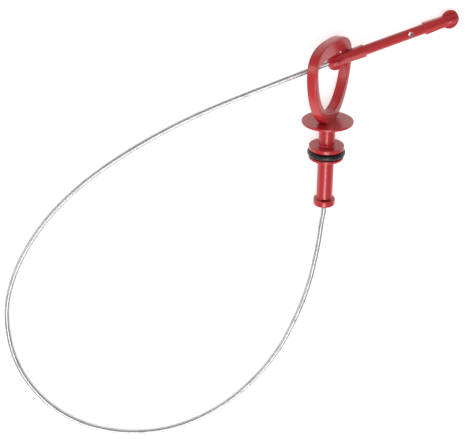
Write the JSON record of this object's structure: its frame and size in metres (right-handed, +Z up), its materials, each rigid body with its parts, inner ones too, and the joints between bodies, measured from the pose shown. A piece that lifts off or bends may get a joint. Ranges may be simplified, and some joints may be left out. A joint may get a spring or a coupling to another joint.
{
  "type": "flexible cable dipstick",
  "caption": "Fluid-level dipstick: finger-ring handle with a cover disc and a seal ring on a plug, a sheathed steel cable laid in an open loop, and a slim plastic probe tip",
  "frame": {"origin": "on the surface that the part lies on, under the middle of the box around the handle and the probe tip", "axes": "+Z up off the surface; +Y along the handle toward its finger ring, as seen from above; +X from the cable's loop toward the probe tip"},
  "size_m": [0.2654, 0.258, 0.039],
  "materials": {
    "red_plastic": "semi-gloss moulded",
    "tip_plastic": "semi-gloss moulded",
    "seal_rubber": "smooth, slightly sheened",
    "cable_steel": "bright wound wire",
    "core_steel": "bright drawn wire",
    "ferrule_brass": "drawn"
  },
  "bodies": {
    "root": {"handle_moulding": "red_plastic", "seal_ring": "seal_rubber", "handle_ferrule": "ferrule_brass", "cable_winding": "cable_steel", "cable_core": "core_steel", "tip_ferrule": "ferrule_brass", "tip_moulding": "tip_plastic"}
  },
  "joints": []
}
